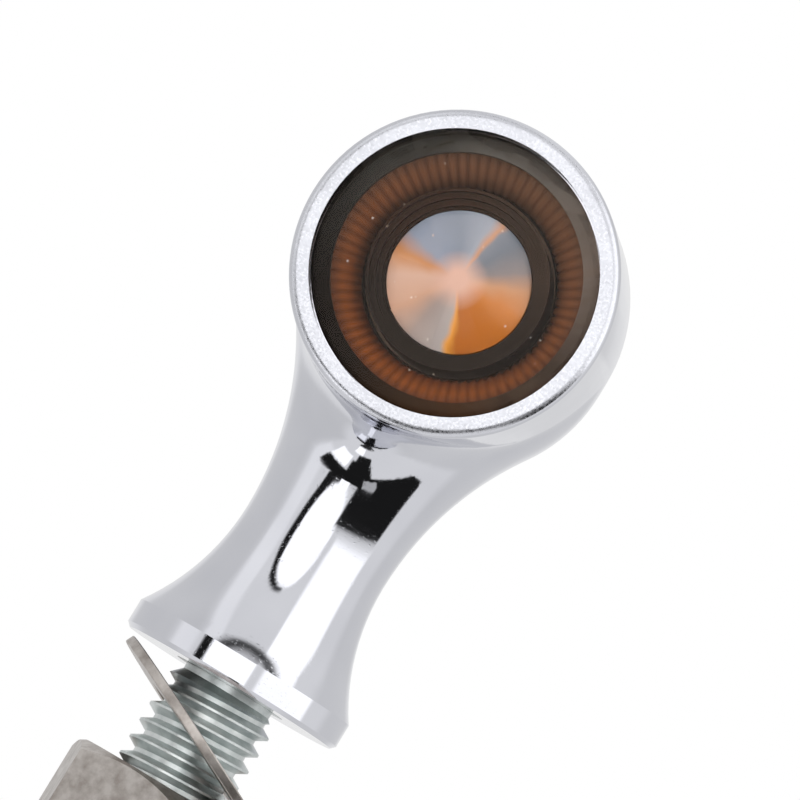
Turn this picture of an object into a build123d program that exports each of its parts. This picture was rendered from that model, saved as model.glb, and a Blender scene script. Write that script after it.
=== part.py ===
"""Bullet turn signal with a hollow threaded stud, its washer and its nut.

Millimetres.  The origin is the centre of the flange's underside, +Z runs up the stem
to the head, and the lens faces -Y.  "Forward" is the distance from the stem's axis
towards the lens, so forward = -y.
"""

import os
from math import cos, radians, sin, tan

from build123d import *

os.makedirs("parts", exist_ok=True)

# ---- housing: flange, waisted stem, ball and barrel ------------------------------
FLANGE_RADIUS = 7.9
FLANGE_BAND = 1.9  # height of the straight band round the flange
FLANGE_CHAMFER = 0.3
WAIST_RADIUS = 5.17
WAIST_HEIGHT = 10.7  # above the flange's underside
HEAD_RADIUS = 10.65  # of the ball, and of the barrel that runs forward from it
HEAD_HEIGHT = 29.7  # of the barrel's axis
BALL_DROP = 1.0  # the head's lower half is a ball centred this far below that axis
BARREL_FORWARD = 11.0  # front face of the rim
RIM_ROUNDING = 0.6
THROAT_ROUNDING = 5.0  # where the barrel's underside meets the stem

# ---- hollow of the head, front to back -------------------------------------------
RIM_WIDTH = 1.3  # from the lens pocket to the barrel's side
LENS_LEDGE = 0.6  # how far the ledge under the lens reaches in
LENS_LEDGE_FORWARD = 8.6
BOARD_LEDGE = 1.15
BOARD_LEDGE_FORWARD = 3.0
RECESS_BACK = -5.5  # forward position of the hollow's floor
LEAD_CHANNEL_RADIUS = 2.4  # down the stem

# ---- stud: M8 x 1.25, hollow ------------------------------------------------------
THREAD_PITCH = 1.25
THREAD_RADIUS = 3.93  # over the crests of a plated M8 thread
THREAD_DEPTH = 0.69
THREAD_CREST_FLAT = 0.156
THREAD_FLANK_ANGLE = 30.0
THREAD_PHASE = 109.0  # degrees: sets where the first crest under the flange lies
STUD_LENGTH = 17.5  # below the flange
STUD_END_CHAMFER = 0.7
STUD_RELIEF = 0.45  # plain run under the flange before the first thread
RELIEF_STEP = 0.02  # how far the relief lies under the thread's roots
THREAD_TOP = 0.65  # below the flange, where the groove runs out
SECTION_REACH = 0.09  # how far a thread's section runs past the surface that it cuts
SHANK_LENGTH = 6.8  # inside the flange
SHANK_CLEARANCE = 0.03
SHANK_END_GAP = 0.2
LEAD_BORE_RADIUS = 2.1
MOUTH_RADIUS = 2.4  # cable bore at the free end
MOUTH_LENGTH = 11.5

# ---- nut and washer ---------------------------------------------------------------
NUT_ACROSS_FLATS = 13.0
NUT_HEIGHT = 6.5
NUT_TOP_DROP = 7.7  # below the flange's underside
NUT_TURN = 43.5  # degrees, where one corner points
NUT_CHAMFER_ANGLE = 30.0
NUT_FACE_SHARE = 0.95  # bearing circle over the width across flats
NUT_EDGE_ROUNDING = 0.12
THREAD_CLEARANCE = 0.07  # axial gap on each flank of the thread
NUT_MINOR_GAP = 0.16  # nut's crests over the stud's roots
NUT_MAJOR_GAP = 0.15
NUT_COUNTERSINK = 0.5
WASHER_RADIUS = 8.0
WASHER_THICKNESS = 0.65
WASHER_TILT = 25.5  # degrees off square to the stud
WASHER_TILT_TOWARDS = 8.0  # degrees round from +X, where its low edge lies
WASHER_DROP = 4.08  # its centre below the flange's underside
WASHER_CLEARANCE = 0.15  # least gap from the tilted bore to the crests
WASHER_EDGE = 0.1

# ---- optics and board -------------------------------------------------------------
LENS_CLEARANCE = 0.1
LENS_EDGE_FORWARD = 10.5
LENS_CROWN = 0.35
LENS_EDGE_ROUNDING = 0.3
SEAL_THICKNESS = 0.5
SEAL_INNER_RADIUS = 8.15
CAVITY_CLEARANCE = 0.15
BOARD_THICKNESS = 1.0
RING_LED_RADIUS = 7.3
RING_LED_COUNT = 8
RING_LED_SIZE = (2.0, 1.25, 0.8)
TURN_LED_SIZE = (3.2, 3.2, 1.2)
TURN_LED_ROUNDING = 0.3
TURN_LED_DOME_RADIUS = 1.34
TURN_LED_DOME_TAPER = 20
GUIDE_GAP = 0.1
GUIDE_TOP_LAND = 0.5
GUIDE_INNER_FORWARD = 6.6
BEZEL_RADIUS = 5.95
BEZEL_FORWARD = 8.2
BEZEL_STEPS = 3
BEZEL_STEP_WIDTH = 0.4
BEZEL_STEP_DROP = 0.45
OPTIC_GAP = 0.05
OPTIC_SKIRT = 1.1  # height of the optic's straight foot
OPTIC_CROWN = 1.3
OPTIC_FACETS = 8
OPTIC_FLAT = 0.9

# ---- what stands on the board's back ----------------------------------------------
CHIP_SIZE = (4.9, 3.9, 1.5)
CHIP_PLACE = (0.0, 4.2)
DIODE_SIZE = (2.6, 4.3, 2.1)
DIODE_PLACE = (-4.9, -0.6)
CAPACITOR_SIZE = (2.5, 3.2, 1.8)
CAPACITOR_PLACE = (4.9, -0.6)
RESISTOR_SIZE = (1.6, 0.8, 0.5)
RESISTOR_ANGLES = (35.0, 145.0, 228.0, 312.0)
RESISTOR_RADIUS = 6.0
COMPONENT_CHAMFER = 0.2
SOLDER_BASE_RADIUS = 0.48
SOLDER_TIP_RADIUS = 0.4
SOLDER_HEIGHT = 0.5

# ---- leads, sleeve, grommet and potting -------------------------------------------
LEAD_RADIUS = 0.45
LEAD_SPREAD = 0.5  # of each lead from the stem's axis, along X and along Y
LEAD_BEND = 1.5
FRONT_LEAD_DROP = 4.6  # below the head's centre, where each pair reaches the board
REAR_LEAD_DROP = 2.3
LEAD_END = -1.0  # where the leads end in the stud's bore
SLEEVE_INNER_RADIUS = 1.3
SLEEVE_RADIUS = 1.7
SLEEVE_TOP = 19.0
GROMMET_COLLAR_RADIUS = 2.3
GROMMET_COLLAR = 1.0
POTTING_FRONT = -1.5  # forward position of the resin's front

# ---- for the cuts ------------------------------------------------------------------
CUT_OVERRUN = 1.0  # how far a chamfering cut runs past the piece

# ---- worked-out sizes -------------------------------------------------------------
pocket_radius = HEAD_RADIUS - RIM_WIDTH
cavity_radius = pocket_radius - LENS_LEDGE
recess_radius = cavity_radius - BOARD_LEDGE
socket_radius = THREAD_RADIUS + SHANK_CLEARANCE
socket_depth = SHANK_LENGTH + SHANK_END_GAP
thread_root = THREAD_RADIUS - THREAD_DEPTH
board_front = BOARD_LEDGE_FORWARD + BOARD_THICKNESS
seal_forward = LENS_LEDGE_FORWARD + SEAL_THICKNESS
guide_radius = cavity_radius - CAVITY_CLEARANCE
optic_radius = BEZEL_RADIUS - BEZEL_STEPS * BEZEL_STEP_WIDTH - OPTIC_GAP
optic_seat = BEZEL_FORWARD - BEZEL_STEPS * BEZEL_STEP_DROP
head_axis = Axis((0, 0, HEAD_HEIGHT), (0, -1, 0))
# radius to the right, forward distance upwards: half outlines of what turns about the head's axis
head_outline = Plane(origin=(0, 0, HEAD_HEIGHT), x_dir=(0, 0, 1), z_dir=(1, 0, 0))


def head_plane(forward):
    """A plane across the head's axis, X to the right and Z up, that faces the lens."""
    return Plane(origin=(0, -forward, HEAD_HEIGHT), x_dir=(1, 0, 0), z_dir=(0, -1, 0))


def save(piece, name):
    """Label a finished sub-part and write its STEP file."""
    piece.part.label = name
    export_step(piece.part, f"parts/{name}.step")


# ---- housing ------------------------------------------------------------------------
# The stem's two flares are arcs that leave the waist straight up and straight down.
# The upper one runs on to the head's lower ball without a corner, which fixes its radius.
ball_height = HEAD_HEIGHT - BALL_DROP
rise = ball_height - WAIST_HEIGHT
upper_flare = (rise**2 + WAIST_RADIUS**2 - HEAD_RADIUS**2) / (2 * (HEAD_RADIUS - WAIST_RADIUS))
lower_drop = WAIST_HEIGHT - FLANGE_BAND
lower_spread = FLANGE_RADIUS - WAIST_RADIUS
lower_flare = (lower_drop**2 + lower_spread**2) / (2 * lower_spread)
share = HEAD_RADIUS / (HEAD_RADIUS + upper_flare)
touch = ((WAIST_RADIUS + upper_flare) * share, ball_height - rise * share)

with BuildPart() as housing:
    with BuildSketch(Plane.XZ):
        with BuildLine():
            Line((0, 0), (FLANGE_RADIUS - FLANGE_CHAMFER, 0))
            Line((FLANGE_RADIUS - FLANGE_CHAMFER, 0), (FLANGE_RADIUS, FLANGE_CHAMFER))
            Line((FLANGE_RADIUS, FLANGE_CHAMFER), (FLANGE_RADIUS, FLANGE_BAND))
            RadiusArc((FLANGE_RADIUS, FLANGE_BAND), (WAIST_RADIUS, WAIST_HEIGHT), lower_flare)
            RadiusArc((WAIST_RADIUS, WAIST_HEIGHT), touch, upper_flare)
            RadiusArc(touch, (HEAD_RADIUS, ball_height), -HEAD_RADIUS)
            Line((HEAD_RADIUS, ball_height), (HEAD_RADIUS, HEAD_HEIGHT))
            RadiusArc((HEAD_RADIUS, HEAD_HEIGHT), (0, HEAD_HEIGHT + HEAD_RADIUS), -HEAD_RADIUS)
            Line((0, HEAD_HEIGHT + HEAD_RADIUS), (0, 0))
        make_face()
    revolve(axis=Axis.Z)
    with BuildSketch(head_plane(0)):
        Circle(HEAD_RADIUS)
    extrude(amount=BARREL_FORWARD)
    # the only free-form edges are the crease between the barrel's underside and the stem
    fillet(housing.edges().filter_by(GeomType.BSPLINE), THROAT_ROUNDING)
    rim = housing.edges().filter_by(GeomType.CIRCLE).filter_by_position(
        Axis.Y, -BARREL_FORWARD, -BARREL_FORWARD
    )
    fillet(rim, RIM_ROUNDING)
    # the lens pocket, the room for the optics and board, and the recess behind the board
    with BuildSketch(head_plane(LENS_LEDGE_FORWARD)):
        Circle(pocket_radius)
    extrude(amount=BARREL_FORWARD - LENS_LEDGE_FORWARD, mode=Mode.SUBTRACT)
    with BuildSketch(head_plane(BOARD_LEDGE_FORWARD)):
        Circle(cavity_radius)
    extrude(amount=LENS_LEDGE_FORWARD - BOARD_LEDGE_FORWARD, mode=Mode.SUBTRACT)
    with BuildSketch(head_plane(RECESS_BACK)):
        Circle(recess_radius)
    extrude(amount=BOARD_LEDGE_FORWARD - RECESS_BACK, mode=Mode.SUBTRACT)
    # the lead channel up the stem, and the socket for the stud
    with BuildSketch(Plane.XY):
        Circle(LEAD_CHANNEL_RADIUS)
    extrude(amount=HEAD_HEIGHT, mode=Mode.SUBTRACT)
    with BuildSketch(Plane.XY):
        Circle(socket_radius)
    extrude(amount=socket_depth, mode=Mode.SUBTRACT)
save(housing, "housing")

# ---- threads ------------------------------------------------------------------------
# Both threads come from one 60 degree section swept up the same right-hand helix: the
# stud loses the groove between its crests, and the nut loses room for the stud's ridge.
flank = tan(radians(THREAD_FLANK_ANGLE))


def crest_height(turns):
    """Height of a crest on the +X side, so many turns below the flange."""
    return -THREAD_PITCH * (turns + THREAD_PHASE / 360)


def section(inner, outer, half_width, slope):
    """A thread section's corners, from its half width at the stud's crest radius."""
    low = half_width + (inner - THREAD_RADIUS) * slope
    high = half_width + (outer - THREAD_RADIUS) * slope
    return [(inner, -low), (outer, -high), (outer, high), (inner, low)]


def start_plane(height):
    """The plane of a thread section, radius along X, at the start of its helix."""
    return Plane(origin=(0, 0, height), x_dir=(1, 0, 0), z_dir=(0, -1, 0))


def helix(start, end):
    """The thread's helix from one height to another."""
    return Helix(THREAD_PITCH, end - start, THREAD_RADIUS, center=(0, 0, start))


# ---- stud ---------------------------------------------------------------------------
groove_start = crest_height(int(STUD_LENGTH / THREAD_PITCH) + 0.5)
groove_half_width = (THREAD_PITCH - THREAD_CREST_FLAT) / 2
with BuildPart() as threaded_stud:
    with BuildSketch(Plane.XY.offset(-STUD_LENGTH)):
        Circle(THREAD_RADIUS)
    extrude(amount=STUD_LENGTH)
    with BuildSketch(start_plane(groove_start)):
        Polygon(
            *section(thread_root, THREAD_RADIUS + SECTION_REACH, groove_half_width, flank),
            align=None,
        )
    sweep(path=helix(groove_start, -THREAD_TOP), is_frenet=True, mode=Mode.SUBTRACT)
    # the free end's chamfer
    with BuildSketch(Plane.XZ):
        with BuildLine():
            Polyline(
                (THREAD_RADIUS - STUD_END_CHAMFER, -STUD_LENGTH),
                (THREAD_RADIUS + CUT_OVERRUN, STUD_END_CHAMFER - STUD_LENGTH + CUT_OVERRUN),
                (THREAD_RADIUS + CUT_OVERRUN, -STUD_LENGTH - CUT_OVERRUN),
                (THREAD_RADIUS - STUD_END_CHAMFER, -STUD_LENGTH - CUT_OVERRUN),
                close=True,
            )
        make_face()
    revolve(axis=Axis.Z, mode=Mode.SUBTRACT)
    # the relief under the flange, where the thread runs out
    with BuildSketch(Plane.XZ):
        with BuildLine():
            Polyline(
                (thread_root - RELIEF_STEP, 0),
                (thread_root - RELIEF_STEP, -STUD_RELIEF),
                (THREAD_RADIUS + CUT_OVERRUN, -STUD_RELIEF - THREAD_DEPTH - RELIEF_STEP - CUT_OVERRUN),
                (THREAD_RADIUS + CUT_OVERRUN, 0),
                close=True,
            )
        make_face()
    revolve(axis=Axis.Z, mode=Mode.SUBTRACT)
    with BuildSketch(Plane.XY):
        Circle(THREAD_RADIUS)
    extrude(amount=SHANK_LENGTH)
    with BuildSketch(Plane.XY.offset(-STUD_LENGTH)):
        Circle(LEAD_BORE_RADIUS)
    extrude(amount=STUD_LENGTH + SHANK_LENGTH, mode=Mode.SUBTRACT)
    with BuildSketch(Plane.XY.offset(-STUD_LENGTH)):
        Circle(MOUTH_RADIUS)
    extrude(amount=MOUTH_LENGTH, mode=Mode.SUBTRACT)
save(threaded_stud, "threaded_stud")

# ---- nut ------------------------------------------------------------------------------
nut_top = -NUT_TOP_DROP
nut_bottom = nut_top - NUT_HEIGHT
nut_minor = thread_root + NUT_MINOR_GAP
nut_major = THREAD_RADIUS + NUT_MAJOR_GAP
nut_corner = NUT_ACROSS_FLATS / 2 / cos(radians(30))
nut_face = NUT_ACROSS_FLATS / 2 * NUT_FACE_SHARE
chamfer_drop = (nut_corner - nut_face) * tan(radians(NUT_CHAMFER_ANGLE))
countersink_radius = nut_major + NUT_COUNTERSINK / 2
countersink_depth = countersink_radius - nut_minor
room_start = crest_height(int(-nut_bottom / THREAD_PITCH) + 1)
room_half_width = THREAD_CREST_FLAT / 2 + THREAD_CLEARANCE

with BuildPart() as hex_nut:
    with BuildSketch(Plane.XY.offset(nut_bottom)):
        RegularPolygon(nut_corner, 6, rotation=NUT_TURN)
    extrude(amount=NUT_HEIGHT)
    fillet(hex_nut.edges().filter_by(Axis.Z), NUT_EDGE_ROUNDING)
    # the thread's room goes into the solid blank, before the hole is bored
    with BuildSketch(start_plane(room_start)):
        Polygon(
            *section(nut_minor - SECTION_REACH, nut_major, room_half_width, -flank),
            align=None,
        )
    sweep(
        path=helix(room_start, nut_top + THREAD_PITCH),
        is_frenet=True,
        mode=Mode.SUBTRACT,
    )
    with BuildSketch(Plane.XY.offset(nut_bottom)):
        Circle(nut_minor)
    extrude(amount=NUT_HEIGHT, mode=Mode.SUBTRACT)
    with BuildSketch(Plane.XZ):
        with BuildLine():
            Polyline(
                (0, nut_bottom),
                (nut_face, nut_bottom),
                (nut_corner, nut_bottom + chamfer_drop),
                (nut_corner, nut_top - chamfer_drop),
                (nut_face, nut_top),
                (0, nut_top),
                close=True,
            )
        make_face()
    revolve(axis=Axis.Z, mode=Mode.INTERSECT)
    # a countersink at each end of the hole
    for face_height, inwards in ((nut_bottom, 1), (nut_top, -1)):
        with BuildSketch(Plane.XZ):
            with BuildLine():
                Polyline(
                    (0, face_height - inwards * CUT_OVERRUN),
                    (countersink_radius + CUT_OVERRUN, face_height - inwards * CUT_OVERRUN),
                    (nut_minor, face_height + inwards * countersink_depth),
                    (0, face_height + inwards * countersink_depth),
                    close=True,
                )
            make_face()
        revolve(axis=Axis.Z, mode=Mode.SUBTRACT)
save(hex_nut, "hex_nut")

# ---- washer -----------------------------------------------------------------------------
# It hangs askew on the stud, so its bore has to clear the crests along the slant.
tilt = radians(WASHER_TILT)
towards = radians(WASHER_TILT_TOWARDS)
washer_bore = (
    THREAD_RADIUS + WASHER_CLEARANCE + WASHER_THICKNESS / 2 * sin(tilt)
) / cos(tilt)
washer_plane = Plane(
    origin=(0, 0, -WASHER_DROP),
    z_dir=(sin(tilt) * cos(towards), sin(tilt) * sin(towards), cos(tilt)),
)
with BuildPart() as washer:
    with BuildSketch(washer_plane):
        Circle(WASHER_RADIUS)
        Circle(washer_bore, mode=Mode.SUBTRACT)
    extrude(amount=WASHER_THICKNESS / 2, both=True)
    fillet(washer.edges().filter_by(GeomType.CIRCLE), WASHER_EDGE)
save(washer, "washer")

# ---- lens and seal ----------------------------------------------------------------------
lens_radius = pocket_radius - LENS_CLEARANCE
lens_side = (lens_radius, LENS_EDGE_FORWARD - LENS_EDGE_ROUNDING)
lens_corner = (lens_radius - LENS_EDGE_ROUNDING, LENS_EDGE_FORWARD)
lens_crown = (0, LENS_EDGE_FORWARD + LENS_CROWN)
crown_radius = (lens_corner[0] ** 2 + LENS_CROWN**2) / (2 * LENS_CROWN)
with BuildPart() as lens_cover:
    with BuildSketch(head_outline):
        with BuildLine():
            Line((0, seal_forward), (lens_radius, seal_forward))
            Line((lens_radius, seal_forward), lens_side)
            RadiusArc(lens_side, lens_corner, -LENS_EDGE_ROUNDING)
            RadiusArc(lens_corner, lens_crown, -crown_radius)
            Line(lens_crown, (0, seal_forward))
        make_face()
    revolve(axis=head_axis)
save(lens_cover, "lens_cover")

with BuildPart() as lens_seal:
    with BuildSketch(head_plane(LENS_LEDGE_FORWARD)):
        Circle(lens_radius)
        Circle(SEAL_INNER_RADIUS, mode=Mode.SUBTRACT)
    extrude(amount=SEAL_THICKNESS)
save(lens_seal, "lens_seal")

# ---- board and lights ---------------------------------------------------------------------
with BuildPart() as led_board:
    with BuildSketch(head_plane(BOARD_LEDGE_FORWARD)):
        Circle(guide_radius)
    extrude(amount=BOARD_THICKNESS)
save(led_board, "led_board")

with BuildPart() as ring_leds:
    with BuildSketch(head_plane(board_front)):
        with PolarLocations(RING_LED_RADIUS, RING_LED_COUNT):
            Rectangle(RING_LED_SIZE[1], RING_LED_SIZE[0])
    extrude(amount=RING_LED_SIZE[2])
save(ring_leds, "ring_leds")

with BuildPart() as turn_led:
    with BuildSketch(head_plane(board_front)):
        RectangleRounded(TURN_LED_SIZE[0], TURN_LED_SIZE[1], TURN_LED_ROUNDING)
    extrude(amount=TURN_LED_SIZE[2] / 2)
    with BuildSketch(head_plane(board_front + TURN_LED_SIZE[2] / 2)):
        Circle(TURN_LED_DOME_RADIUS)
    extrude(amount=TURN_LED_SIZE[2] / 2, taper=TURN_LED_DOME_TAPER)
save(turn_led, "turn_led")

# The light guide is a ring with a face that slopes down to the bezel.
guide_foot = board_front + RING_LED_SIZE[2] + GUIDE_GAP
guide_top = LENS_LEDGE_FORWARD - GUIDE_GAP
guide_inner = BEZEL_RADIUS + GUIDE_GAP
with BuildPart() as ring_light_guide:
    with BuildSketch(head_outline):
        with BuildLine():
            Polyline(
                (guide_inner, guide_foot),
                (guide_radius, guide_foot),
                (guide_radius, guide_top),
                (guide_radius - GUIDE_TOP_LAND, guide_top),
                (guide_inner, GUIDE_INNER_FORWARD),
                close=True,
            )
        make_face()
    revolve(axis=head_axis)
save(ring_light_guide, "ring_light_guide")

# The bezel is a tube that steps inwards towards the optic it carries.
bezel_bore = optic_radius + OPTIC_GAP
with BuildPart() as centre_bezel:
    with BuildSketch(head_plane(board_front)):
        Circle(BEZEL_RADIUS)
        Circle(bezel_bore, mode=Mode.SUBTRACT)
    extrude(amount=BEZEL_FORWARD - board_front)
    for step in range(BEZEL_STEPS):
        with BuildSketch(head_plane(BEZEL_FORWARD - (step + 1) * BEZEL_STEP_DROP)):
            Circle(BEZEL_RADIUS - (step + 1) * BEZEL_STEP_WIDTH + BEZEL_STEP_WIDTH / 2)
        extrude(amount=(step + 1) * BEZEL_STEP_DROP, mode=Mode.SUBTRACT)
save(centre_bezel, "centre_bezel")

# The optic is a faceted cap with a flat crown, on a skirt that stands over the turn LED.
with BuildPart() as centre_lens:
    with BuildSketch(head_plane(optic_seat - OPTIC_SKIRT)):
        Circle(optic_radius)
    extrude(amount=OPTIC_SKIRT)
    with BuildSketch(head_plane(optic_seat)):
        RegularPolygon(optic_radius, OPTIC_FACETS)
    with BuildSketch(head_plane(optic_seat + OPTIC_CROWN)):
        RegularPolygon(OPTIC_FLAT, OPTIC_FACETS)
    loft()
save(centre_lens, "centre_lens")

# ---- what stands on the board's back --------------------------------------------------------
board_back = Plane(
    origin=(0, -BOARD_LEDGE_FORWARD, HEAD_HEIGHT), x_dir=(-1, 0, 0), z_dir=(0, 1, 0)
)
for name, size, place in (
    ("driver_chip", CHIP_SIZE, CHIP_PLACE),
    ("surge_diode", DIODE_SIZE, DIODE_PLACE),
    ("capacitor", CAPACITOR_SIZE, CAPACITOR_PLACE),
):
    with BuildPart() as block:
        with BuildSketch(board_back):
            with Locations(place):
                Rectangle(size[0], size[1])
        extrude(amount=size[2])
        chamfer(block.faces().sort_by(Axis.Y)[-1].edges(), COMPONENT_CHAMFER)
    save(block, name)

with BuildPart() as resistors:
    with BuildSketch(board_back):
        for angle in RESISTOR_ANGLES:
            with PolarLocations(RESISTOR_RADIUS, 1, start_angle=angle):
                Rectangle(RESISTOR_SIZE[1], RESISTOR_SIZE[0])
    extrude(amount=RESISTOR_SIZE[2])
save(resistors, "resistors")

# ---- leads ------------------------------------------------------------------------------------
# Each lead rises in the stem, turns forward and ends in its own joint on the board.
lead_face = SOLDER_HEIGHT - BOARD_LEDGE_FORWARD
lead_corners = {}
for name, right, forward, drop in (
    ("ground_lead", -1, 1, FRONT_LEAD_DROP),
    ("tail_lead", 1, 1, FRONT_LEAD_DROP),
    ("brake_lead", -1, -1, REAR_LEAD_DROP),
    ("turn_lead", 1, -1, REAR_LEAD_DROP),
):
    foot = (right * LEAD_SPREAD, -forward * LEAD_SPREAD)
    lead_corners[name] = (foot, HEAD_HEIGHT - drop)

for name, (foot, height) in lead_corners.items():
    with BuildPart() as lead:
        with BuildLine():
            FilletPolyline(
                (*foot, LEAD_END),
                (*foot, height),
                (foot[0], lead_face, height),
                radius=LEAD_BEND,
            )
        with BuildSketch(Plane.XY.offset(LEAD_END)):
            with Locations(foot):
                Circle(LEAD_RADIUS)
        sweep()
    save(lead, name)

with BuildPart() as solder_joints:
    for foot, height in lead_corners.values():
        with BuildSketch(board_back):
            with Locations((-foot[0], height - HEAD_HEIGHT)):
                Circle(SOLDER_BASE_RADIUS)
        with BuildSketch(board_back.offset(SOLDER_HEIGHT)):
            with Locations((-foot[0], height - HEAD_HEIGHT)):
                Circle(SOLDER_TIP_RADIUS)
        loft()
save(solder_joints, "solder_joints")

with BuildPart() as lead_sleeve:
    with BuildSketch(Plane.XY.offset(LEAD_END)):
        Circle(SLEEVE_RADIUS)
        Circle(SLEEVE_INNER_RADIUS, mode=Mode.SUBTRACT)
    extrude(amount=SLEEVE_TOP - LEAD_END)
save(lead_sleeve, "lead_sleeve")

# A flanged bush that centres the sleeve in the stud and stands on the stud's inner end.
with BuildPart() as lead_grommet:
    with BuildSketch(Plane.XY.offset(LEAD_END)):
        Circle(LEAD_BORE_RADIUS)
    extrude(amount=SHANK_LENGTH - LEAD_END)
    with BuildSketch(Plane.XY.offset(SHANK_LENGTH)):
        Circle(GROMMET_COLLAR_RADIUS)
    extrude(amount=GROMMET_COLLAR)
    with BuildSketch(Plane.XY.offset(LEAD_END)):
        Circle(SLEEVE_RADIUS)
    extrude(amount=SHANK_LENGTH + GROMMET_COLLAR - LEAD_END, mode=Mode.SUBTRACT)
save(lead_grommet, "lead_grommet")

with BuildPart() as potting_plug:
    with BuildSketch(head_plane(RECESS_BACK)):
        Circle(recess_radius)
    extrude(amount=POTTING_FRONT - RECESS_BACK)
save(potting_plug, "potting_plug")
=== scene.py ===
"""A chromed bullet turn signal on its hollow stud, with the washer and the nut.

Everything is in metres, in the part's own frame: +Z runs up the stem to the head and
the lens faces -Y.  Sizes are written in millimetres and turned to metres by MM.
"""

from math import cos, pi, radians, sin

import bpy
from mathutils import Matrix, Vector


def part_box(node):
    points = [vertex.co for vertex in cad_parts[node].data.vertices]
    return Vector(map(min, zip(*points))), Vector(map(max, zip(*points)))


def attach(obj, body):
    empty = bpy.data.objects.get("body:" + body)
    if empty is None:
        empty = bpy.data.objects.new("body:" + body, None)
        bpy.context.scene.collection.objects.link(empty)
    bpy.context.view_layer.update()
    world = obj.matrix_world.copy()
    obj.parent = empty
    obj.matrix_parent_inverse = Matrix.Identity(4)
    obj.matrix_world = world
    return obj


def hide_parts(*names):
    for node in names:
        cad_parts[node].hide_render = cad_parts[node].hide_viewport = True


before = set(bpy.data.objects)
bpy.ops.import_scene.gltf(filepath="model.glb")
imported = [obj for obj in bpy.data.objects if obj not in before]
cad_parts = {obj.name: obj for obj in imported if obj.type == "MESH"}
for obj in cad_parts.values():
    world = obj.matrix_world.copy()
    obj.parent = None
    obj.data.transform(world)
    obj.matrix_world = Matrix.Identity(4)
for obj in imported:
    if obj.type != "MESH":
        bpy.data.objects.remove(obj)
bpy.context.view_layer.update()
MM = 0.001
SLACK = 0.01 * MM  # how near two heights or distances count as the same


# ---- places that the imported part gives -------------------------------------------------
def middle(node):
    """The centre of a node's box."""
    low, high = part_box(node)
    return (low + high) / 2


HEAD_HEIGHT = middle("lens_cover").z
head = Vector((0, 0, HEAD_HEIGHT))


def forward_of(node):
    """How far a node's front reaches towards the lens side, in metres."""
    return -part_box(node)[0].y


def back_of(node):
    """How far forward a node's back lies, in metres."""
    return -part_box(node)[1].y


# ---- camera ----------------------------------------------------------------------------
CAMERA_AROUND = 8.3  # degrees towards +X from square to the lens
CAMERA_BELOW = 4.4  # degrees below the lens's own height
CAMERA_LEAN = 31.4  # degrees that the stem leans to the right in the view
CAMERA_DISTANCE = 505 * MM
CAMERA_LENS = 349.1  # mm on a 36 mm wide sensor
AIM_RIGHT = 0.67 * MM  # the middle of the view, from the stem 20 mm above the flange
AIM_UP = 1.65 * MM
AIM_HEIGHT = 20 * MM

around = radians(CAMERA_AROUND)
below = radians(CAMERA_BELOW)
lean = radians(CAMERA_LEAN)
towards_camera = Vector((sin(around) * cos(below), -cos(around) * cos(below), -sin(below)))
level_right = Vector((0, 0, 1)).cross(towards_camera).normalized()
level_up = towards_camera.cross(level_right)
view_right = level_right * cos(lean) + level_up * sin(lean)
view_up = level_up * cos(lean) - level_right * sin(lean)
aim = Vector((0, 0, AIM_HEIGHT)) + view_right * AIM_RIGHT + view_up * AIM_UP
eye = aim + towards_camera * CAMERA_DISTANCE

camera_data = bpy.data.cameras.new("camera")
camera_data.lens = CAMERA_LENS
camera_data.sensor_width = 36
camera_data.clip_start = 0.01
camera_data.clip_end = 50
camera = bpy.data.objects.new("camera", camera_data)
bpy.context.scene.collection.objects.link(camera)
camera.matrix_world = Matrix((
    (view_right.x, view_up.x, towards_camera.x, eye.x),
    (view_right.y, view_up.y, towards_camera.y, eye.y),
    (view_right.z, view_up.z, towards_camera.z, eye.z),
    (0, 0, 0, 1),
))
bpy.context.scene.camera = camera


# ---- material helpers ------------------------------------------------------------------
def linear(colour):
    """A '#rrggbb' colour as linear red, green, blue and alpha."""
    channels = [int(colour[i:i + 2], 16) / 255 for i in (1, 3, 5)]
    return tuple(
        c / 12.92 if c <= 0.04045 else ((c + 0.055) / 1.055) ** 2.4 for c in channels
    ) + (1.0,)


def add_node(tree, kind, settings=None, **inputs):
    """Add a node, set its properties, and set or link its inputs.

    An input goes by its name with underscores for spaces, or by its place as n0, n1...
    """
    node = tree.nodes.new(kind)
    for name, value in (settings or {}).items():
        setattr(node, name, value)
    for name, value in inputs.items():
        numbered = name[0] == "n" and name[1:].isdigit()
        socket = node.inputs[int(name[1:]) if numbered else name.replace("_", " ")]
        if isinstance(value, bpy.types.NodeSocket):
            tree.links.new(value, socket)
        else:
            socket.default_value = value
    return node


def new_material(name):
    """An empty node material with its tree, its output and the piece's own coordinates."""
    material = bpy.data.materials.new(name)
    material.use_nodes = True
    tree = material.node_tree
    tree.nodes.clear()
    output = add_node(tree, "ShaderNodeOutputMaterial")
    place = add_node(tree, "ShaderNodeTexCoord").outputs["Object"]
    return material, tree, output, place


def paint(piece, material):
    """Give a piece one material in every slot."""
    if not piece.material_slots:
        piece.data.materials.append(material)
    for slot in piece.material_slots:
        slot.material = material


# ---- materials -------------------------------------------------------------------------
RIM_ROUNDING = 0.35 * MM
RIM_FADE = 0.3 * MM  # how far the rim's satin takes to come in


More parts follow.
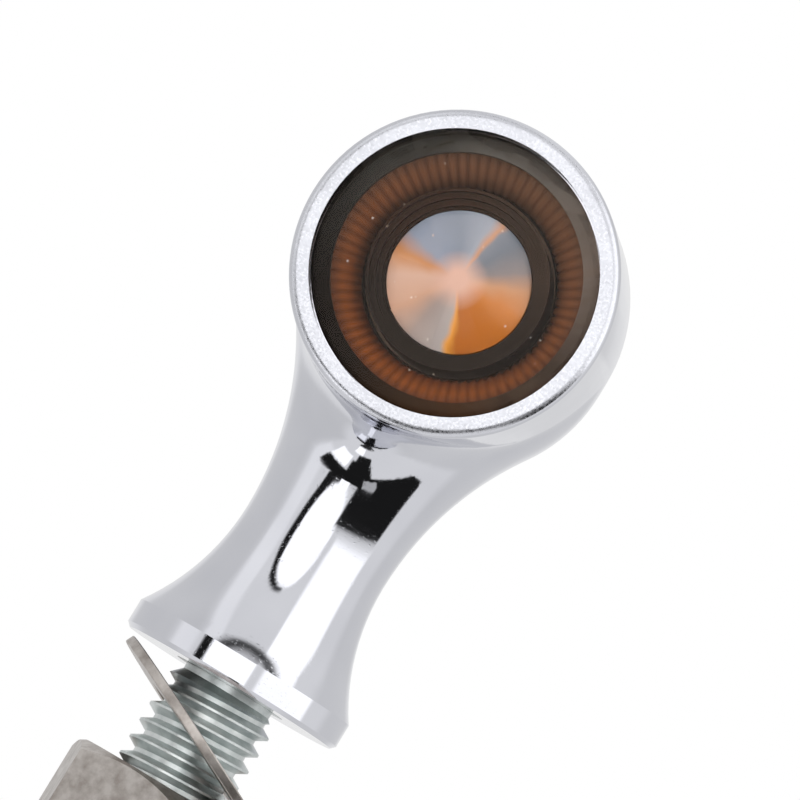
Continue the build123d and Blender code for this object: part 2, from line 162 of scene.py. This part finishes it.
def plated_chrome(name):
    """Bright chrome over a polished zinc casting.

    The plating itself is a mirror.  The casting under it was polished by hand, so the
    mirror wavers a little over a few millimetres, shows faint buffing lines round the
    stem and pin-prick pits, and turns satin and pitted on the machined front of the rim.
    """
    material, tree, output, place = new_material(name)
    swell = add_node(tree, "ShaderNodeTexNoise", n0=place, Scale=260.0, Detail=1.0)
    flat = add_node(tree, "ShaderNodeMapping", n0=place, Scale=(500.0, 500.0, 9000.0))
    buffing = add_node(tree, "ShaderNodeTexNoise", n0=flat.outputs[0], Scale=1.0, Detail=2.0)
    pits = add_node(tree, "ShaderNodeTexNoise", n0=place, Scale=5200.0, Detail=2.0)
    pit_mask = add_node(tree, "ShaderNodeMapRange", n0=pits.outputs[0], n1=0.62, n2=0.74)
    # the rim's front is everything further forward than its own rounding
    parts = add_node(tree, "ShaderNodeSeparateXYZ", n0=place)
    rim_back = -(forward_of("housing") - RIM_ROUNDING)
    rim = add_node(
        tree, "ShaderNodeMapRange", n0=parts.outputs[1], n1=rim_back, n2=rim_back - RIM_FADE,
    )
    grit = add_node(tree, "ShaderNodeTexNoise", n0=place, Scale=6200.0, Detail=2.0)
    rim_grit = add_node(
        tree, "ShaderNodeMath", {"operation": "MULTIPLY"}, n0=rim.outputs[0], n1=grit.outputs[0],
    )
    base_rough = add_node(
        tree, "ShaderNodeMapRange", n0=buffing.outputs[0], n1=0.3, n2=0.7, n3=0.035, n4=0.075,
    )
    rough = add_node(
        tree, "ShaderNodeMath", {"operation": "MULTIPLY_ADD"}, n0=rim_grit.outputs[0], n1=0.55,
        n2=base_rough.outputs[0],
    )
    tint = add_node(
        tree, "ShaderNodeMix", {"data_type": "RGBA"},
        n0=swell.outputs[0], n6=linear("#d4d5dc"), n7=linear("#e2e3e9"),
    )
    wave = add_node(
        tree, "ShaderNodeBump", Strength=0.12, Distance=0.02 * MM, Height=swell.outputs[0],
    )
    lines = add_node(
        tree, "ShaderNodeBump", Strength=0.035, Distance=0.01 * MM, Height=buffing.outputs[0],
        Normal=wave.outputs[0],
    )
    pitted = add_node(
        tree, "ShaderNodeBump", {"invert": True}, Strength=0.12, Distance=0.01 * MM,
        Height=pit_mask.outputs[0], Normal=lines.outputs[0],
    )
    rim_bump = add_node(
        tree, "ShaderNodeBump", Strength=0.35, Distance=0.02 * MM, Height=rim_grit.outputs[0],
        Normal=pitted.outputs[0],
    )
    shader = add_node(
        tree, "ShaderNodeBsdfPrincipled", Metallic=1.0,
        Base_Color=tint.outputs[2], Roughness=rough.outputs[0], Normal=rim_bump.outputs[0],
    )
    tree.links.new(shader.outputs[0], output.inputs[0])
    return material


def smoked_window(name):
    """Clear-moulded polycarbonate with a brown smoke tint, polished in the mould.

    It darkens and browns what lies behind it and carries a thin sharp gloss on top, with
    a few dust specks held by static.
    """
    material, tree, output, place = new_material(name)
    dust = add_node(
        tree, "ShaderNodeTexVoronoi", {"feature": "F1"}, n0=place, Scale=620.0, Randomness=1.0,
    )
    speck = add_node(
        tree, "ShaderNodeMapRange", n0=dust.outputs[0], n1=0.03, n2=0.06, n3=0.45, n4=0.0,
    )
    ripple = add_node(tree, "ShaderNodeTexNoise", n0=place, Scale=190.0, Detail=1.0)
    bump = add_node(
        tree, "ShaderNodeBump", Strength=0.02, Distance=0.02 * MM, Height=ripple.outputs[0],
    )
    clear = add_node(tree, "ShaderNodeBsdfTransparent", Color=linear("#f4ebe4"))
    gloss = add_node(
        tree, "ShaderNodeBsdfPrincipled", Base_Color=linear("#d8d2cc"), Roughness=0.03,
        Metallic=1.0, Normal=bump.outputs[0],
    )
    fresnel = add_node(tree, "ShaderNodeFresnel", IOR=1.26, Normal=bump.outputs[0])
    share = add_node(
        tree, "ShaderNodeMath", {"operation": "MAXIMUM"}, n0=fresnel.outputs[0],
        n1=speck.outputs[0],
    )
    mix = add_node(
        tree, "ShaderNodeMixShader", n0=share.outputs[0], n1=clear.outputs[0], n2=gloss.outputs[0],
    )
    tree.links.new(mix.outputs[0], output.inputs[0])
    return material


def bright_plating(name, dark, light, rough, stain_mm, grain_mm):
    """Electroplated steel left as it came from the barrel.

    The plating is a dull mirror: cloudy from piece rubbing on piece, with a fine grain
    and darker stains where the bath or a hand has marked it.
    """
    material, tree, output, place = new_material(name)
    stain = add_node(
        tree, "ShaderNodeTexNoise", n0=place, Scale=1 / (stain_mm * MM), Detail=4.0, Roughness=0.6,
    )
    grain = add_node(tree, "ShaderNodeTexNoise", n0=place, Scale=1 / (grain_mm * MM), Detail=3.0)
    cloud = add_node(tree, "ShaderNodeMapRange", n0=stain.outputs[0], n1=0.36, n2=0.64)
    tint = add_node(
        tree, "ShaderNodeMix", {"data_type": "RGBA"}, n0=cloud.outputs[0], n6=linear(dark),
        n7=linear(light),
    )
    mottle = add_node(
        tree, "ShaderNodeMath", {"operation": "MULTIPLY_ADD"}, n0=grain.outputs[0], n1=0.2,
        n2=rough - 0.1,
    )
    bump = add_node(
        tree, "ShaderNodeBump", Strength=0.25, Distance=0.03 * MM, Height=grain.outputs[0],
    )
    shader = add_node(
        tree, "ShaderNodeBsdfPrincipled", Metallic=1.0,
        Base_Color=tint.outputs[2], Roughness=mottle.outputs[0], Normal=bump.outputs[0],
    )
    tree.links.new(shader.outputs[0], output.inputs[0])
    return material


def moulded(name, dark, light, rough, grain_mm, depth, coat=0.0):
    """Moulded, extruded or cast plastic or rubber, its colour a little uneven.

    The mould leaves a fine grain that softens the highlight; a coat stands for the
    resin-rich or polished skin that some of them have.
    """
    material, tree, output, place = new_material(name)
    grain = add_node(tree, "ShaderNodeTexNoise", n0=place, Scale=1 / (grain_mm * MM), Detail=3.0)
    cloud = add_node(tree, "ShaderNodeTexNoise", n0=place, Scale=420.0, Detail=2.0)
    tint = add_node(
        tree, "ShaderNodeMix", {"data_type": "RGBA"}, n0=cloud.outputs[0], n6=linear(dark),
        n7=linear(light),
    )
    spread = add_node(
        tree, "ShaderNodeMath", {"operation": "MULTIPLY_ADD"}, n0=grain.outputs[0], n1=0.16,
        n2=rough - 0.08,
    )
    bump = add_node(
        tree, "ShaderNodeBump", Strength=depth, Distance=0.02 * MM, Height=grain.outputs[0],
    )
    shader = add_node(
        tree, "ShaderNodeBsdfPrincipled", Coat_Weight=coat, Coat_Roughness=0.05, IOR=1.49,
        Base_Color=tint.outputs[2], Roughness=spread.outputs[0], Normal=bump.outputs[0],
    )
    tree.links.new(shader.outputs[0], output.inputs[0])
    return material


def fluted_acrylic_with_painted_light(name, inner, outer, flutes):
    """Brown-tinted acrylic, moulded with fine radial flutes and polished in the mould.

    The light that it passes is painted into its colour: painted shade makes it browner and deeper
    towards the bezel and towards its outer edge, painted light makes it warmest on the side of the
    stem and greyer on the far side, and painted shade stripes it dark and light round the flutes.
    Every flute also keeps its own sharp line of gloss.
    """
    material, tree, output, place = new_material(name)
    centred = add_node(tree, "ShaderNodeMapping", n0=place, Location=(0, 0, -HEAD_HEIGHT))
    parts = add_node(tree, "ShaderNodeSeparateXYZ", n0=centred.outputs[0])
    flat = add_node(tree, "ShaderNodeCombineXYZ", X=parts.outputs[0], Y=parts.outputs[2])
    reach = add_node(tree, "ShaderNodeVectorMath", {"operation": "LENGTH"}, n0=flat.outputs[0])
    outwards = add_node(tree, "ShaderNodeMapRange", n0=reach.outputs["Value"], n1=inner, n2=outer)
    # painted light: warmest on the stem's side, greyer on the far side
    lean_to = add_node(
        tree, "ShaderNodeVectorMath", {"operation": "DOT_PRODUCT"},
        n0=flat.outputs[0], n1=(-0.07, -1.0, 0),
    )
    warm = add_node(tree, "ShaderNodeMapRange", n0=lean_to.outputs["Value"], n1=-8 * MM, n2=8 * MM)
    # painted shade: darker at the bezel and at the outer edge, brightest between
    depth = add_node(tree, "ShaderNodeValToRGB", n0=outwards.outputs[0])
    ramp = depth.color_ramp
    ramp.elements[0].color = linear("#5e3b26")
    ramp.elements[1].color = linear("#4d3a30")
    for position, colour in ((0.25, "#8e5428"), (0.55, "#a26430"), (0.8, "#7c5034")):
        ramp.elements.new(position).color = linear(colour)
    painted_grey_far_side = add_node(
        tree, "ShaderNodeMix", {"data_type": "RGBA"}, n0=0.8, n6=depth.outputs[0],
        n7=linear("#75675c"),
    )
    tint = add_node(
        tree, "ShaderNodeMix", {"data_type": "RGBA"}, n0=warm.outputs[0], n6=painted_grey_far_side.outputs[2],
        n7=depth.outputs[0],
    )
    # painted shade of the flutes: darker and lighter stripes round the ring
    turn = add_node(
        tree, "ShaderNodeMath", {"operation": "ARCTAN2"}, n0=parts.outputs[0], n1=parts.outputs[2],
    )
    wave = add_node(
        tree, "ShaderNodeMath", {"operation": "MULTIPLY"}, n0=turn.outputs[0], n1=float(flutes),
    )
    crest = add_node(tree, "ShaderNodeMath", {"operation": "SINE"}, n0=wave.outputs[0])
    uneven = add_node(tree, "ShaderNodeTexNoise", n0=place, Scale=600.0, Detail=1.0)
    share = add_node(
        tree, "ShaderNodeMath", {"operation": "MULTIPLY"}, n0=crest.outputs[0],
        n1=uneven.outputs[0],
    )
    painted_flute_shade = add_node(
        tree, "ShaderNodeMapRange", n0=share.outputs[0], n1=-0.5, n2=0.5, n3=0.7, n4=1.12,
    )
    fluted = add_node(
        tree, "ShaderNodeVectorMath", {"operation": "SCALE"}, n0=tint.outputs[2],
        Scale=painted_flute_shade.outputs[0],
    )
    flow = add_node(tree, "ShaderNodeTexNoise", n0=place, Scale=900.0, Detail=2.0)
    rough = add_node(tree, "ShaderNodeMapRange", n0=flow.outputs[0], n3=0.16, n4=0.26)
    shader = add_node(
        tree, "ShaderNodeBsdfPrincipled", Coat_Weight=0.5, Coat_Roughness=0.08, IOR=1.49,
        Base_Color=fluted.outputs[0], Roughness=rough.outputs[0],
    )
    tree.links.new(shader.outputs[0], output.inputs[0])
    return material


def plastic_with_painted_light(name, painted_tones, rough, shine, coat=0.0, centre=None, reach=0.0, uneven=0.0):
    """Moulded plastic or rubber behind the window, with light and shade painted round the head's
    axis.

    The window and the pieces behind it bend the room's light differently on every side; that light
    is painted into the colour as painted shade, painted reflections and painted glow, so the tone
    goes from warm and dark below to grey and pale above and on the right.
    """
    material, tree, output, place = new_material(name)
    centred = add_node(tree, "ShaderNodeMapping", n0=place, Location=(0, 0, -HEAD_HEIGHT))
    across = add_node(
        tree, "ShaderNodeVectorMath", {"operation": "DOT_PRODUCT"}, n0=centred.outputs[0],
        n1=(cos(lean), 0, sin(lean)),
    )
    down = add_node(
        tree, "ShaderNodeVectorMath", {"operation": "DOT_PRODUCT"}, n0=centred.outputs[0],
        n1=(sin(lean), 0, -cos(lean)),
    )
    turn = add_node(
        tree, "ShaderNodeMath", {"operation": "ARCTAN2"}, n0=down.outputs["Value"],
        n1=across.outputs["Value"],
    )
    drift = add_node(tree, "ShaderNodeTexNoise", n0=place, Scale=420.0, Detail=2.0)
    shifted = add_node(
        tree, "ShaderNodeMath", {"operation": "MULTIPLY_ADD"}, n0=drift.outputs[0], n1=uneven,
        n2=turn.outputs[0],
    )
    share = add_node(
        tree, "ShaderNodeMath", {"operation": "MULTIPLY_ADD"}, n0=shifted.outputs[0], n1=0.5 / pi,
        n2=1.0,
    )
    around_axis = add_node(tree, "ShaderNodeMath", {"operation": "FRACT"}, n0=share.outputs[0])
    # the ring of tones is painted light, shade and reflection, not the piece's own colour
    painted_tone_ring = add_node(tree, "ShaderNodeValToRGB", n0=around_axis.outputs[0])
    ramp = painted_tone_ring.color_ramp
    ramp.elements[0].color = linear(painted_tones[0][1])
    ramp.elements[1].color = linear(painted_tones[0][1])
    for position, colour in painted_tones[1:]:
        ramp.elements.new(position).color = linear(colour)
    tint = painted_tone_ring.outputs[0]
    # painted reflection: a pale tone blended in towards the axis
    if centre:
        flat = add_node(
            tree, "ShaderNodeVectorMath", {"operation": "MULTIPLY"}, n0=centred.outputs[0],
            n1=(1, 0, 1),
        )
        length = add_node(tree, "ShaderNodeVectorMath", {"operation": "LENGTH"}, n0=flat.outputs[0])
        inwards = add_node(
            tree, "ShaderNodeMapRange", n0=length.outputs["Value"], n1=reach, n2=0.3 * reach,
        )
        tint = add_node(
            tree, "ShaderNodeMix", {"data_type": "RGBA"}, n0=inwards.outputs[0], n6=tint,
            n7=linear(centre),
        ).outputs[2]
    spread = add_node(
        tree, "ShaderNodeMath", {"operation": "MULTIPLY_ADD"}, n0=drift.outputs[0], n1=0.12,
        n2=rough - 0.06,
    )
    shader = add_node(
        tree, "ShaderNodeBsdfPrincipled", Coat_Weight=coat, Coat_Roughness=0.05, IOR=1.49,
        Specular_IOR_Level=shine, Base_Color=tint, Roughness=spread.outputs[0],
    )
    tree.links.new(shader.outputs[0], output.inputs[0])
    return material


# ---- modelling helpers -----------------------------------------------------------------
MERGE_WITHIN = 0.0005 * MM


def only(piece):
    """Make one piece the active and only selected one."""
    bpy.ops.object.select_all(action="DESELECT")
    piece.select_set(True)
    bpy.context.view_layer.objects.active = piece


def pick_faces(piece, wanted):
    """In edit mode, select just the faces whose centre and normal pass a test."""
    bpy.ops.mesh.select_mode(type="FACE")
    bpy.ops.mesh.select_all(action="DESELECT")
    bpy.ops.object.mode_set(mode="OBJECT")
    for face in piece.data.polygons:
        face.select = bool(wanted(face.center, face.normal))
    bpy.ops.object.mode_set(mode="EDIT")


def pick_points(piece, wanted):
    """In edit mode, select just the points that pass a test."""
    bpy.ops.mesh.select_mode(type="VERT")
    bpy.ops.mesh.select_all(action="DESELECT")
    bpy.ops.object.mode_set(mode="OBJECT")
    for point in piece.data.vertices:
        point.select = bool(wanted(point.co))
    bpy.ops.object.mode_set(mode="EDIT")


def off_axis(point):
    """Distance of a point from the head's axis."""
    return (Vector((point.x, 0, point.z)) - Vector((0, 0, HEAD_HEIGHT))).length


def clock(point):
    """Degrees clockwise from +X round the head's axis, as someone facing the lens sees it."""
    outwards = Vector((point.x, point.z - HEAD_HEIGHT))
    return Vector((1, 0)).angle_signed(outwards, 0) * 180 / pi


def smooth_copy(node, body, angle):
    """A CAD piece's own shape with its triangles joined and its curves shaded smooth.

    Edges that turn by more than the angle, in degrees, stay sharp.
    """
    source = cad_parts[node]
    piece = source.copy()
    piece.data = source.data.copy()
    piece.name = node + "_finished"
    for key in [k for k in piece.keys() if k.startswith("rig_")]:
        del piece[key]
    piece.parent = None
    bpy.context.scene.collection.objects.link(piece)
    only(piece)
    if piece.data.has_custom_normals:
        bpy.ops.mesh.customdata_custom_splitnormals_clear()
    bpy.ops.object.mode_set(mode="EDIT")
    bpy.ops.mesh.select_all(action="SELECT")
    bpy.ops.mesh.remove_doubles(threshold=MERGE_WITHIN)
    bpy.ops.object.mode_set(mode="OBJECT")
    bpy.ops.object.shade_smooth_by_angle(angle=radians(angle))
    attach(piece, body)
    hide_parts(node)
    return piece


# ---- the fluted ring -------------------------------------------------------------------
FLUTES = 72
STEPS = 4  # points to a flute
FLUTE_DEPTH = 0.14 * MM
guide_back = back_of("ring_light_guide")
guide_front = forward_of("ring_light_guide")
guide_low, guide_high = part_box("ring_light_guide")
guide_outer = (guide_high.x - guide_low.x) / 2
bezel_low, bezel_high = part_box("centre_bezel")
GUIDE_GAP = 0.1 * MM  # between the bezel and the ring
guide_inner = (bezel_high.x - bezel_low.x) / 2 + GUIDE_GAP
GUIDE_LAND = 0.5 * MM  # the flat round the ring's outer edge
GUIDE_SLOPE = 1.9 * MM  # how far the face falls back towards the bezel

bpy.ops.object.select_all(action="DESELECT")
bpy.ops.mesh.primitive_cylinder_add(
    vertices=FLUTES * STEPS, radius=guide_outer, depth=guide_front - guide_back,
    end_fill_type="NOTHING", location=(0, -(guide_front + guide_back) / 2, HEAD_HEIGHT),
    rotation=(pi / 2, 0, 0),
)
guide = bpy.context.active_object
guide.name = "fluted_light_guide"
bpy.ops.object.transform_apply(location=True, rotation=True, scale=True)
bpy.ops.object.mode_set(mode="EDIT")
pick_points(guide, lambda p: -p.y > guide_front - SLACK)
land_share = (guide_outer - GUIDE_LAND) / guide_outer
bpy.ops.mesh.extrude_edges_move()
bpy.ops.transform.resize(
    value=(land_share, 1, land_share), center_override=(0, -guide_front, HEAD_HEIGHT),
)
slope_share = guide_inner / (guide_outer - GUIDE_LAND)
bpy.ops.mesh.extrude_edges_move()
bpy.ops.transform.resize(
    value=(slope_share, 1, slope_share), center_override=(0, -guide_front, HEAD_HEIGHT),
)
bpy.ops.transform.translate(value=(0, GUIDE_SLOPE, 0))
bpy.ops.mesh.extrude_edges_move()
bpy.ops.transform.translate(value=(0, guide_front - guide_back - GUIDE_SLOPE, 0))
bpy.ops.mesh.extrude_edges_move()
bpy.ops.transform.resize(
    value=(guide_outer / guide_inner, 1, guide_outer / guide_inner),
    center_override=(0, -guide_back, HEAD_HEIGHT),
)
bpy.ops.mesh.select_all(action="SELECT")
bpy.ops.mesh.remove_doubles(threshold=0.001 * MM)
bpy.ops.mesh.normals_make_consistent(inside=False)


def on_flute(point, step):
    """Whether a point of the sloping face lies on this step of its flute."""
    behind_face = -point.y < guide_front - GUIDE_SLOPE - SLACK
    if behind_face or off_axis(point) > guide_outer - GUIDE_LAND / 2:
        return False
    return round(clock(point) * FLUTES * STEPS / 360) % STEPS == step


for step, shift in ((0, -FLUTE_DEPTH), (2, FLUTE_DEPTH)):
    pick_points(guide, lambda p: on_flute(p, step))
    bpy.ops.transform.translate(value=(0, shift, 0))
bpy.ops.object.mode_set(mode="OBJECT")
smoothing = guide.modifiers.new("smoothing", "SUBSURF")
smoothing.levels = 1
smoothing.render_levels = 1
only(guide)
bpy.ops.object.modifier_apply(modifier="smoothing")
bpy.ops.object.shade_smooth_by_angle(angle=radians(50))
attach(guide, "lamp")
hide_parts("ring_light_guide")

# ---- the faceted centre lens -----------------------------------------------------------
# Eight flat facets that meet a round edge: an eight-sided cone wider than the lens, cut
# round by its own skirt.
FACETS = 8
FACET_TURN = 37.5  # degrees that the facets stand round from the stem
optic_low, optic_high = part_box("centre_lens")
optic_radius = (optic_high.x - optic_low.x) / 2
optic_back = back_of("centre_lens")
optic_front = forward_of("centre_lens")
OPTIC_SKIRT = 1.1 * MM  # the round wall under the facets
OPTIC_FLAT = 0.3 * MM  # radius of the small flat on the point
OPTIC_EDGE = 0.05 * MM
cone_radius = optic_radius / cos(pi / FACETS) + OPTIC_EDGE
cone_height = optic_front - optic_back - OPTIC_SKIRT
bpy.ops.object.select_all(action="DESELECT")
bpy.ops.mesh.primitive_cone_add(
    vertices=FACETS, radius1=cone_radius, radius2=OPTIC_FLAT, depth=cone_height,
    location=(0, -(optic_front - cone_height / 2), HEAD_HEIGHT),
    rotation=(pi / 2, radians(FACET_TURN), 0),
)
optic = bpy.context.active_object
optic.name = "faceted_centre_lens"
bpy.ops.object.transform_apply(location=True, rotation=True, scale=True)
bpy.ops.object.mode_set(mode="EDIT")
pick_faces(optic, lambda centre, normal: normal.y > 0.9)
bpy.ops.mesh.extrude_region_move(TRANSFORM_OT_translate={"value": (0, OPTIC_SKIRT, 0)})
bpy.ops.mesh.select_all(action="SELECT")
bpy.ops.mesh.normals_make_consistent(inside=False)
bpy.ops.object.mode_set(mode="OBJECT")
bpy.ops.object.select_all(action="DESELECT")
bpy.ops.mesh.primitive_cylinder_add(
    vertices=96, radius=optic_radius, depth=4 * cone_height,
    location=(0, -optic_front, HEAD_HEIGHT), rotation=(pi / 2, 0, 0),
)
round_edge = bpy.context.active_object
cut = optic.modifiers.new("round_edge", "BOOLEAN")
cut.operation = "INTERSECT"
cut.object = round_edge
only(optic)
bpy.ops.object.modifier_apply(modifier="round_edge")
bpy.data.objects.remove(round_edge)
edge = optic.modifiers.new("edge", "BEVEL")
edge.width = OPTIC_EDGE
edge.segments = 2
bpy.ops.object.modifier_apply(modifier="edge")
bpy.ops.object.shade_smooth_by_angle(angle=radians(20))
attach(optic, "lamp")
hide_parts("centre_lens")

# ---- finishes on the pieces ------------------------------------------------------------
chrome = plated_chrome("chrome_over_polished_zinc")
housing = smooth_copy("housing", "lamp", 32)
paint(housing, chrome)

window = smoked_window("smoked_polycarbonate_window")
lens = smooth_copy("lens_cover", "lamp", 40)
paint(lens, window)

zinc = bright_plating("blue_passivated_zinc_plating", "#c3cac9", "#e0e4e3", 0.33, 1.6, 0.09)
nickel = bright_plating("dull_nickel_plating", "#a39b95", "#c6c0bb", 0.34, 1.1, 0.07)
stud = smooth_copy("threaded_stud", "lamp", 35)
paint(stud, zinc)
washer = smooth_copy("washer", "washer", 35)
paint(washer, nickel)
nut = smooth_copy("hex_nut", "nut", 25)
paint(nut, nickel)

# Tones go clockwise from the view's right, as shares of a turn. They are painted light, shade and
# reflections seen through the window, laid over each piece's own colour.
# black rubber with painted light: grey on the right and above as painted reflection, brown below
# and black on the left as painted shade
seal_rubber_painted_light = plastic_with_painted_light("black_rubber_with_painted_light_under_the_window", (
    (0.0, "#9a9c9e"), (0.12, "#5c5854"), (0.25, "#46331f"), (0.4, "#1a1816"),
    (0.5, "#151516"), (0.6, "#33393c"), (0.75, "#5a6367"), (0.87, "#6f767a"),
), 0.5, 0.15)
# black polycarbonate with painted light: greyer on the right, painted brown reflections along the
# top, near black below and on the left
bezel_black_painted_light = plastic_with_painted_light("black_polycarbonate_with_painted_reflections", (
    (0.0, "#3a3532"), (0.12, "#1c1a1a"), (0.3, "#0e0e0f"), (0.5, "#131111"),
    (0.62, "#2c1b10"), (0.75, "#301e11"), (0.88, "#35302c"),
), 0.3, 0.2)
# The orange wedge is partly the optic's own amber and partly the amber LED's light painted in; the
# grey-blue, beige and pale pink tones, the bright yellow line and the pale middle are painted
# reflections and a painted highlight.
optic_painted_reflections = plastic_with_painted_light("faceted_acrylic_with_painted_reflections", (
    (0.0, "#99a7bb"), (0.06, "#ddbda1"), (0.12, "#e1a25e"), (0.17, "#d08a2f"),
    (0.28, "#c57e27"), (0.295, "#ffc85e"), (0.312, "#c1d3e8"), (0.4, "#b8c0ce"),
    (0.47, "#e6d0c5"), (0.55, "#efe1df"), (0.61, "#ddaf81"), (0.66, "#a1c5f5"),
    (0.78, "#97b9e2"), (0.86, "#b1d3fc"), (0.885, "#e0c0a8"), (0.9, "#8eacd0"), (0.94, "#7e9cbe"),
), 0.12, 0.4, coat=0.7, centre="#f4e3e5", reach=2.0 * MM, uneven=0.35)
paint(optic, optic_painted_reflections)
# amber acrylic with painted light and shade across its face and its flutes
guide_acrylic_painted_light = fluted_acrylic_with_painted_light("fluted_amber_acrylic_with_painted_light", guide_inner, guide_outer, FLUTES)
paint(guide, guide_acrylic_painted_light)

rubber = moulded("moulded_black_rubber", "#171717", "#222222", 0.62, 0.12, 0.4)
board = moulded("fibreglass_board_with_white_mask", "#d8d8d2", "#e8e8e2", 0.4, 0.2, 0.1)
red_lamp = moulded("red_led_resin", "#8a1512", "#a82019", 0.18, 0.2, 0.05, coat=0.8)
amber_lamp = moulded("amber_led_silicone", "#c8780c", "#e09420", 0.25, 0.2, 0.05, coat=0.5)
epoxy = moulded("moulded_black_epoxy", "#1c1c1e", "#29292b", 0.5, 0.08, 0.3)
ceramic = moulded("tan_ceramic", "#8a6a48", "#a2825c", 0.45, 0.1, 0.2)
tin = bright_plating("tin_solder", "#a9a9a6", "#c4c4c0", 0.25, 0.8, 0.1)
resin = moulded("cast_black_resin", "#121214", "#1b1b1e", 0.16, 0.5, 0.08, coat=0.7)
sleeve = moulded("woven_look_black_vinyl", "#161616", "#202020", 0.55, 0.15, 0.35)
insulation = {
    "ground_lead": moulded("extruded_black_vinyl", "#131313", "#1e1e1e", 0.4, 0.1, 0.15),
    "tail_lead": moulded("extruded_yellow_vinyl", "#c9a21a", "#dab535", 0.4, 0.1, 0.15),
    "brake_lead": moulded("extruded_red_vinyl", "#9c1b16", "#b52a22", 0.4, 0.1, 0.15),
    "turn_lead": moulded("extruded_blue_vinyl", "#1e4f9c", "#2c62b4", 0.4, 0.1, 0.15),
}
for node, finish in (
    ("lens_seal", seal_rubber_painted_light), ("centre_bezel", bezel_black_painted_light), ("led_board", board),
    ("ring_leds", red_lamp), ("turn_led", amber_lamp), ("driver_chip", epoxy),
    ("surge_diode", epoxy), ("capacitor", ceramic), ("resistors", epoxy),
    ("solder_joints", tin), ("lead_sleeve", sleeve), ("lead_grommet", rubber),
    ("potting_plug", resin), *insulation.items(),
):
    paint(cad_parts[node], finish)

# ---- studio ----------------------------------------------------------------------------
# The tent is a sphere of white cloth with softboxes, a dark gap for the camera and grey
# sides.  Angles are degrees to the right of the camera and up the stem; "soft" is how
# many degrees an edge takes to fade.
TENT_RADIUS = 0.8
TENT_MIDDLE = Vector((0, 0, 15 * MM))
WALL = 0.84  # brightness of the bare cloth
BLACK = 0.012
SOFTBOX = 1.45
WALL_PANELS = (  # brightness, right from, to, up from, to, soft
    (0.70, -150, -78, -60, 60, 16),
    (0.72, 105, 160, -60, 60, 16),
    (1.00, -74, -52, -40, 70, 8),
)
DISCS = (  # brightness, right, up, radius, soft, furthest right
    (BLACK, -17, 3, 29, 1.6, -10),
    (SOFTBOX, -13, 5, 24, 1.6, 180),
)
PANELS = (
    (SOFTBOX, 20, 78, -1, 72, 5),
    (BLACK, -60, 76, -34, -19, 2.2),
    (BLACK, 6, 76, -34, -5, 2.2),
    (0.50, 12, 30, -29, -20, 1.6),
    (BLACK, -20, -8, -52, -30, 3),
    (0.05, -80, 60, 62, 66, 3),
    (BLACK, -14, 22, -64, -33, 2),
    (SOFTBOX, -60, -26, -56, -36, 2),
    (SOFTBOX, -34, -4, -84, -64, 3),
    (0.03, -50, 50, -90, -78, 4),
)


def fade(distance, soft):
    """0 outside an edge, 1 inside it, with a smooth step as wide as soft."""
    share = min(1, max(0, distance / soft + 0.5))
    return share * share * (3 - 2 * share)


def hang(light, panels, right, up):
    """The light in one direction after panels are hung in front of it."""
    for level, left_edge, right_edge, low_edge, high_edge, soft in panels:
        inside = min(right - left_edge, right_edge - right, up - low_edge, high_edge - up)
        light += (level - light) * fade(inside, soft)
    return light


def tent_light(right, up):
    """How bright the tent is in one direction."""
    light = hang(WALL, WALL_PANELS, right, up)
    for level, middle_right, middle_up, radius, soft, furthest_right in DISCS:
        inside = radius - Vector((right - middle_right, up - middle_up)).length
        inside = min(inside, furthest_right - right)
        light += (level - light) * fade(inside, soft)
    return hang(light, PANELS, right, up)


bpy.ops.object.select_all(action="DESELECT")
bpy.ops.mesh.primitive_uv_sphere_add(
    segments=240, ring_count=120, radius=TENT_RADIUS, location=TENT_MIDDLE,
)
tent = bpy.context.active_object
tent.name = "light_tent"
bpy.ops.object.transform_apply(location=True, rotation=True, scale=True)
lit = tent.data.attributes.new("tent_light", "FLOAT", "POINT")
camera_side = Vector((sin(around), -cos(around)))
for point, value in zip(tent.data.vertices, lit.data):
    direction = (point.co - TENT_MIDDLE).normalized()
    up = 90 - direction.angle(Vector((0, 0, 1))) * 180 / pi
    right = camera_side.angle_signed(Vector((direction.x, direction.y)), 0) * -180 / pi
    value.value = tent_light(right, up)
cloth, cloth_tree, cloth_output, _ = new_material("lit_tent_cloth")
cloth_light = add_node(cloth_tree, "ShaderNodeAttribute", {"attribute_name": "tent_light"})
cloth_glow = add_node(cloth_tree, "ShaderNodeEmission", Strength=cloth_light.outputs["Fac"])
cloth_tree.links.new(cloth_glow.outputs[0], cloth_output.inputs[0])
paint(tent, cloth)
tent.visible_camera = False
tent.visible_diffuse = False
tent.visible_shadow = False
tent.visible_transmission = False

# ---- floor -----------------------------------------------------------------------------
FLOOR_DROP = 25 * MM  # under the flange, which leaves room for the nut's whole way down the stud
bpy.ops.object.select_all(action="DESELECT")
bpy.ops.mesh.primitive_plane_add(size=1.5, location=(0, 0, -FLOOR_DROP))
floor = bpy.context.active_object
floor.name = "studio_floor"
bpy.ops.object.transform_apply(location=True, rotation=True, scale=True)
paint(floor, moulded("white_paper_floor", "#f0f0f0", "#f6f6f6", 0.7, 2.0, 0.05))
floor.visible_glossy = False  # the chrome mirrors the tent below it as well

# ---- lights ----------------------------------------------------------------------------
world = bpy.data.worlds.new("white_studio")
world.use_nodes = True
bpy.context.scene.world = world
background = world.node_tree.nodes["Background"]
background.inputs["Color"].default_value = (1, 1, 1, 1)
background.inputs["Strength"].default_value = 1.0

for name, place, size, power in (  # place and width in metres, power in watts
    ("softbox_right", (0.45, -0.35, 0.35), 0.4, 5.0),
    ("softbox_left", (-0.4, -0.45, 0.1), 0.35, 2.0),
):
    lamp_data = bpy.data.lights.new(name, "AREA")
    lamp_data.size = size
    lamp_data.energy = power
    lamp = bpy.data.objects.new(name, lamp_data)
    bpy.context.scene.collection.objects.link(lamp)
    lamp.location = place
    lamp.rotation_euler = (head - Vector(place)).to_track_quat("-Z", "Y").to_euler()
    lamp.visible_glossy = False

bpy.context.scene.view_settings.view_transform = "Standard"
